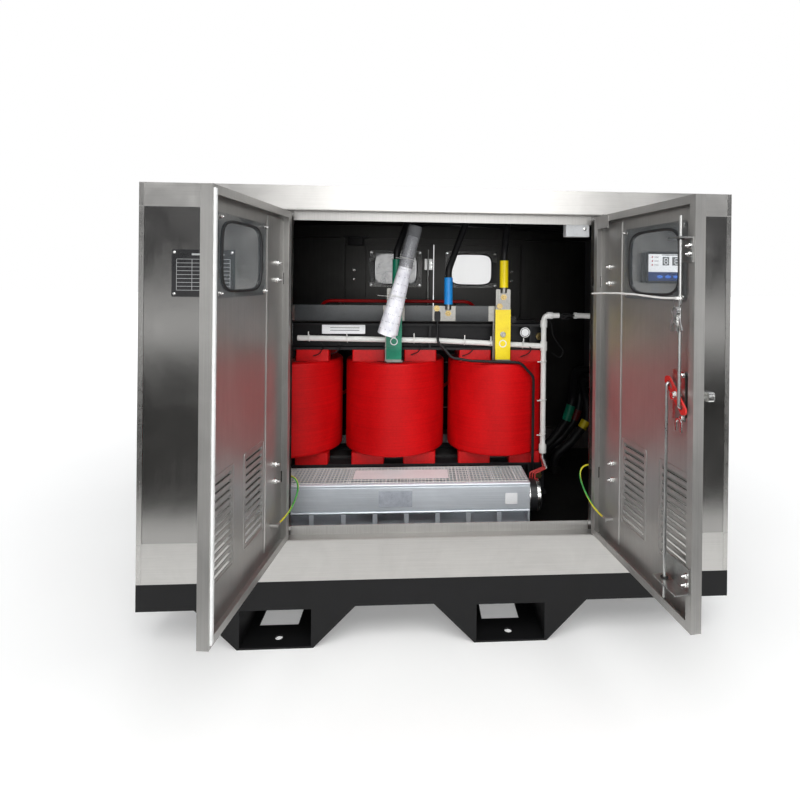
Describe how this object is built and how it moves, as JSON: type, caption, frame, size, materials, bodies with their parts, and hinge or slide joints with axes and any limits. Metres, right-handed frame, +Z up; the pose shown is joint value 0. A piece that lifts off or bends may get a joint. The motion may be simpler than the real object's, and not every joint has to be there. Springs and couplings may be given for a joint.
{
  "type": "dry type transformer",
  "caption": "Cast resin dry transformer in a stainless enclosure with hinged doors at front and rear, on a black skid with fork pockets.",
  "frame": {"origin": "on the ground, at the centre of the four anchor holes of the fork pockets", "axes": "+X to the right seen from the front, +Y to the rear, +Z up; the two open front doors face -Y"},
  "size_m": [1.6598, 1.5641, 1.27],
  "materials": {
    "stainless": "brushed stainless sheet",
    "skid_black": "satin black paint",
    "floor_dark": "dark grey paint",
    "duct_grey": "grey satin paint",
    "pane_clear": "clear pane",
    "zinc_steel": "zinc plated",
    "cam_red": "red paint",
    "core_black": "black varnish on laminated steel",
    "clamp_black": "satin black paint",
    "resin_red": "cast resin, satin",
    "winding_foil": "resin sealed foil",
    "rubber_black": "matt",
    "bar_tinned": "tinned bar with coloured sleeves",
    "neutral_grey": "dark sleeve with bare ends",
    "lug_copper": "tinned copper",
    "link_red": "insulated rod",
    "sleeve_colours": "heat shrink in red, green, yellow and blue",
    "cable_black": "black jacket",
    "lead_mixed": "thin coloured leads",
    "conduit_white": "white tube",
    "fan_steel": "galvanised sheet",
    "motor_black": "black paint",
    "roll_grey": "rolled papers in a clear tube",
    "controller_black": "black case, white front",
    "switch_grey": "grey case",
    "earth_green": "green and yellow jacket"
  },
  "bodies": {
    "enclosure": {"base_rail": "stainless", "bolts": "zinc_steel", "cable_duct": "duct_grey", "coil_blocks": "resin_red", "controller": "controller_black", "copper_links": "lug_copper", "core": "core_black", "corner_posts": "stainless", "document_roll": "roll_grey", "door_switch": "switch_grey", "doorway_rests": "stainless", "earth_cable": "cable_black", "earth_wire_left": "earth_green", "earth_wire_right": "earth_green", "fan_housings": "fan_steel", "fan_motors": "motor_black", "floor_plate": "floor_dark", "foot_channels": "clamp_black", "fork_pockets": "skid_black", "front_panels": "stainless", "hv_coil_a": "resin_red", "hv_coil_b": "resin_red", "hv_coil_c": "resin_red", "hv_insulators": "resin_red", "hv_links": "link_red", "lower_clamps": "clamp_black", "lv_bars": "bar_tinned", "lv_coils": "winding_foil", "neutral_bar": "neutral_grey", "phase_cables": "cable_black", "phase_sleeves": "sleeve_colours", "rear_panels": "stainless", "roof": "stainless", "sensor_conduit": "conduit_white", "sensor_leads": "lead_mixed", "side_panels": "stainless", "skid_frame": "skid_black", "upper_clamps": "clamp_black", "vibration_pads": "rubber_black"},
    "front_left_door": {"front_door_left": "stainless", "front_pane_left": "pane_clear"},
    "front_right_door": {"front_door_right": "stainless", "front_pane_right": "pane_clear", "front_lock_case": "stainless"},
    "front_lock": {"front_lock_cam": "cam_red", "front_handle": "zinc_steel"},
    "front_rod_upper": {"front_upper_rod": "zinc_steel", "keys": "zinc_steel"},
    "front_rod_lower": {"front_lower_rod": "zinc_steel"},
    "rear_left_door": {"rear_door_left": "stainless", "rear_pane_left": "pane_clear"},
    "rear_right_door": {"rear_door_right": "stainless", "rear_pane_right": "pane_clear", "rear_lock_case": "stainless"},
    "rear_lock": {"rear_lock_cam": "cam_red", "rear_handle": "zinc_steel"},
    "rear_rod_upper": {"rear_upper_rod": "zinc_steel"},
    "rear_rod_lower": {"rear_lower_rod": "zinc_steel"},
    "impeller_front": {"front_impeller": "fan_steel"},
    "impeller_rear": {"rear_impeller": "fan_steel"}
  },
  "joints": [
    {"name": "front_left_hinge", "type": "hinge", "parent": "enclosure", "child": "front_left_door", "pos_m": [-0.314, -0.55, 0.75], "axis": [0, 0, -1], "range_deg": [-96, 14], "deforming": ["earth_wire_left"]},
    {"name": "front_right_hinge", "type": "hinge", "parent": "enclosure", "child": "front_right_door", "pos_m": [0.574, -0.55, 0.75], "axis": [0, 0, 1], "range_deg": [-98, 12], "deforming": ["earth_wire_right"]},
    {"name": "rear_left_hinge", "type": "hinge", "parent": "enclosure", "child": "rear_left_door", "pos_m": [0.574, 0.55, 0.75], "axis": [0, 0, -1], "range_deg": [0, 110]},
    {"name": "rear_right_hinge", "type": "hinge", "parent": "enclosure", "child": "rear_right_door", "pos_m": [-0.314, 0.55, 0.75], "axis": [0, 0, 1], "range_deg": [0, 110]},
    {"name": "front_lock_turn", "type": "hinge", "parent": "front_right_door", "child": "front_lock", "pos_m": [0.62911, -0.94215, 0.78], "axis": [-0.9903, -0.1392, 0], "range_deg": [0, 90]},
    {"name": "front_upper_rod_slide", "type": "slide", "parent": "front_right_door", "child": "front_rod_upper", "axis": [0, 0, 1], "range_m": [0, 0.0425]},
    {"name": "front_lower_rod_slide", "type": "slide", "parent": "front_right_door", "child": "front_rod_lower", "axis": [0, 0, -1], "range_m": [0, 0.0425]},
    {"name": "rear_lock_turn", "type": "hinge", "parent": "rear_right_door", "child": "rear_lock", "pos_m": [0.082, 0.55, 0.78], "axis": [0, -1, 0], "range_deg": [0, 90]},
    {"name": "rear_upper_rod_slide", "type": "slide", "parent": "rear_right_door", "child": "rear_rod_upper", "axis": [0, 0, 1], "range_m": [0, 0.0425]},
    {"name": "rear_lower_rod_slide", "type": "slide", "parent": "rear_right_door", "child": "rear_rod_lower", "axis": [0, 0, -1], "range_m": [0, 0.0425]},
    {"name": "front_fan_spin", "type": "hinge", "parent": "enclosure", "child": "impeller_front", "pos_m": [0, -0.315, 0.3185], "axis": [1, 0, 0], "continuous": true},
    {"name": "rear_fan_spin", "type": "hinge", "parent": "enclosure", "child": "impeller_rear", "pos_m": [0, 0.055, 0.3185], "axis": [1, 0, 0], "continuous": true}
  ],
  "couplings": [
    {"joint": "front_upper_rod_slide", "follows": "front_lock_turn", "m_per_rad": 0.027},
    {"joint": "front_lower_rod_slide", "follows": "front_lock_turn", "m_per_rad": 0.027},
    {"joint": "rear_upper_rod_slide", "follows": "rear_lock_turn", "m_per_rad": 0.027},
    {"joint": "rear_lower_rod_slide", "follows": "rear_lock_turn", "m_per_rad": 0.027}
  ]
}
